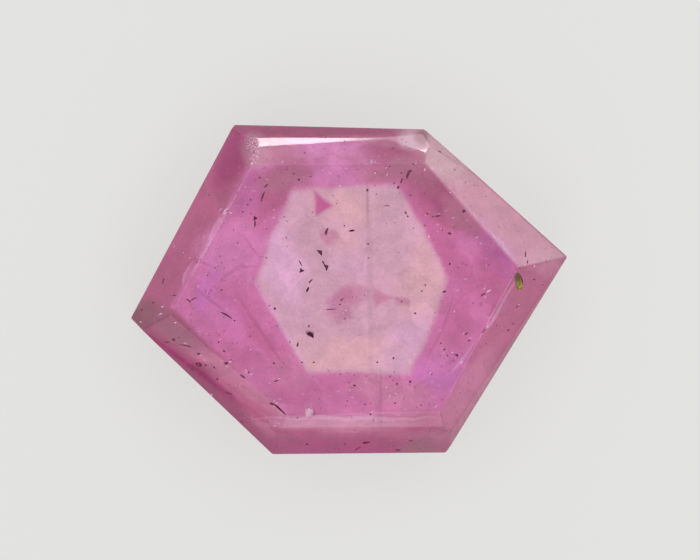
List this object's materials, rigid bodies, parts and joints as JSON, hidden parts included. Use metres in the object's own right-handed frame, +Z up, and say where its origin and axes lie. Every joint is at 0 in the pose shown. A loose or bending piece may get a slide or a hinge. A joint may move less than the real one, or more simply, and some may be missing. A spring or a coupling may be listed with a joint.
{
  "type": "ruby crystal slice",
  "caption": "Polished slice across a six-sided ruby crystal: a flat table, sloping flats round it, upright walls and a flat back.",
  "frame": {"origin": "middle of the bounding box seen from above, on the flat back that the slice lies on", "axes": "+Z up through the slice, from the back to the table; +X along the longest way across it; +Y across it"},
  "size_m": [0.0104, 0.008, 0.003],
  "materials": {
    "ruby": "polished translucent pink ruby with a paler six-sided middle"
  },
  "bodies": {
    "root": {"ruby_crystal": "ruby"}
  },
  "joints": []
}
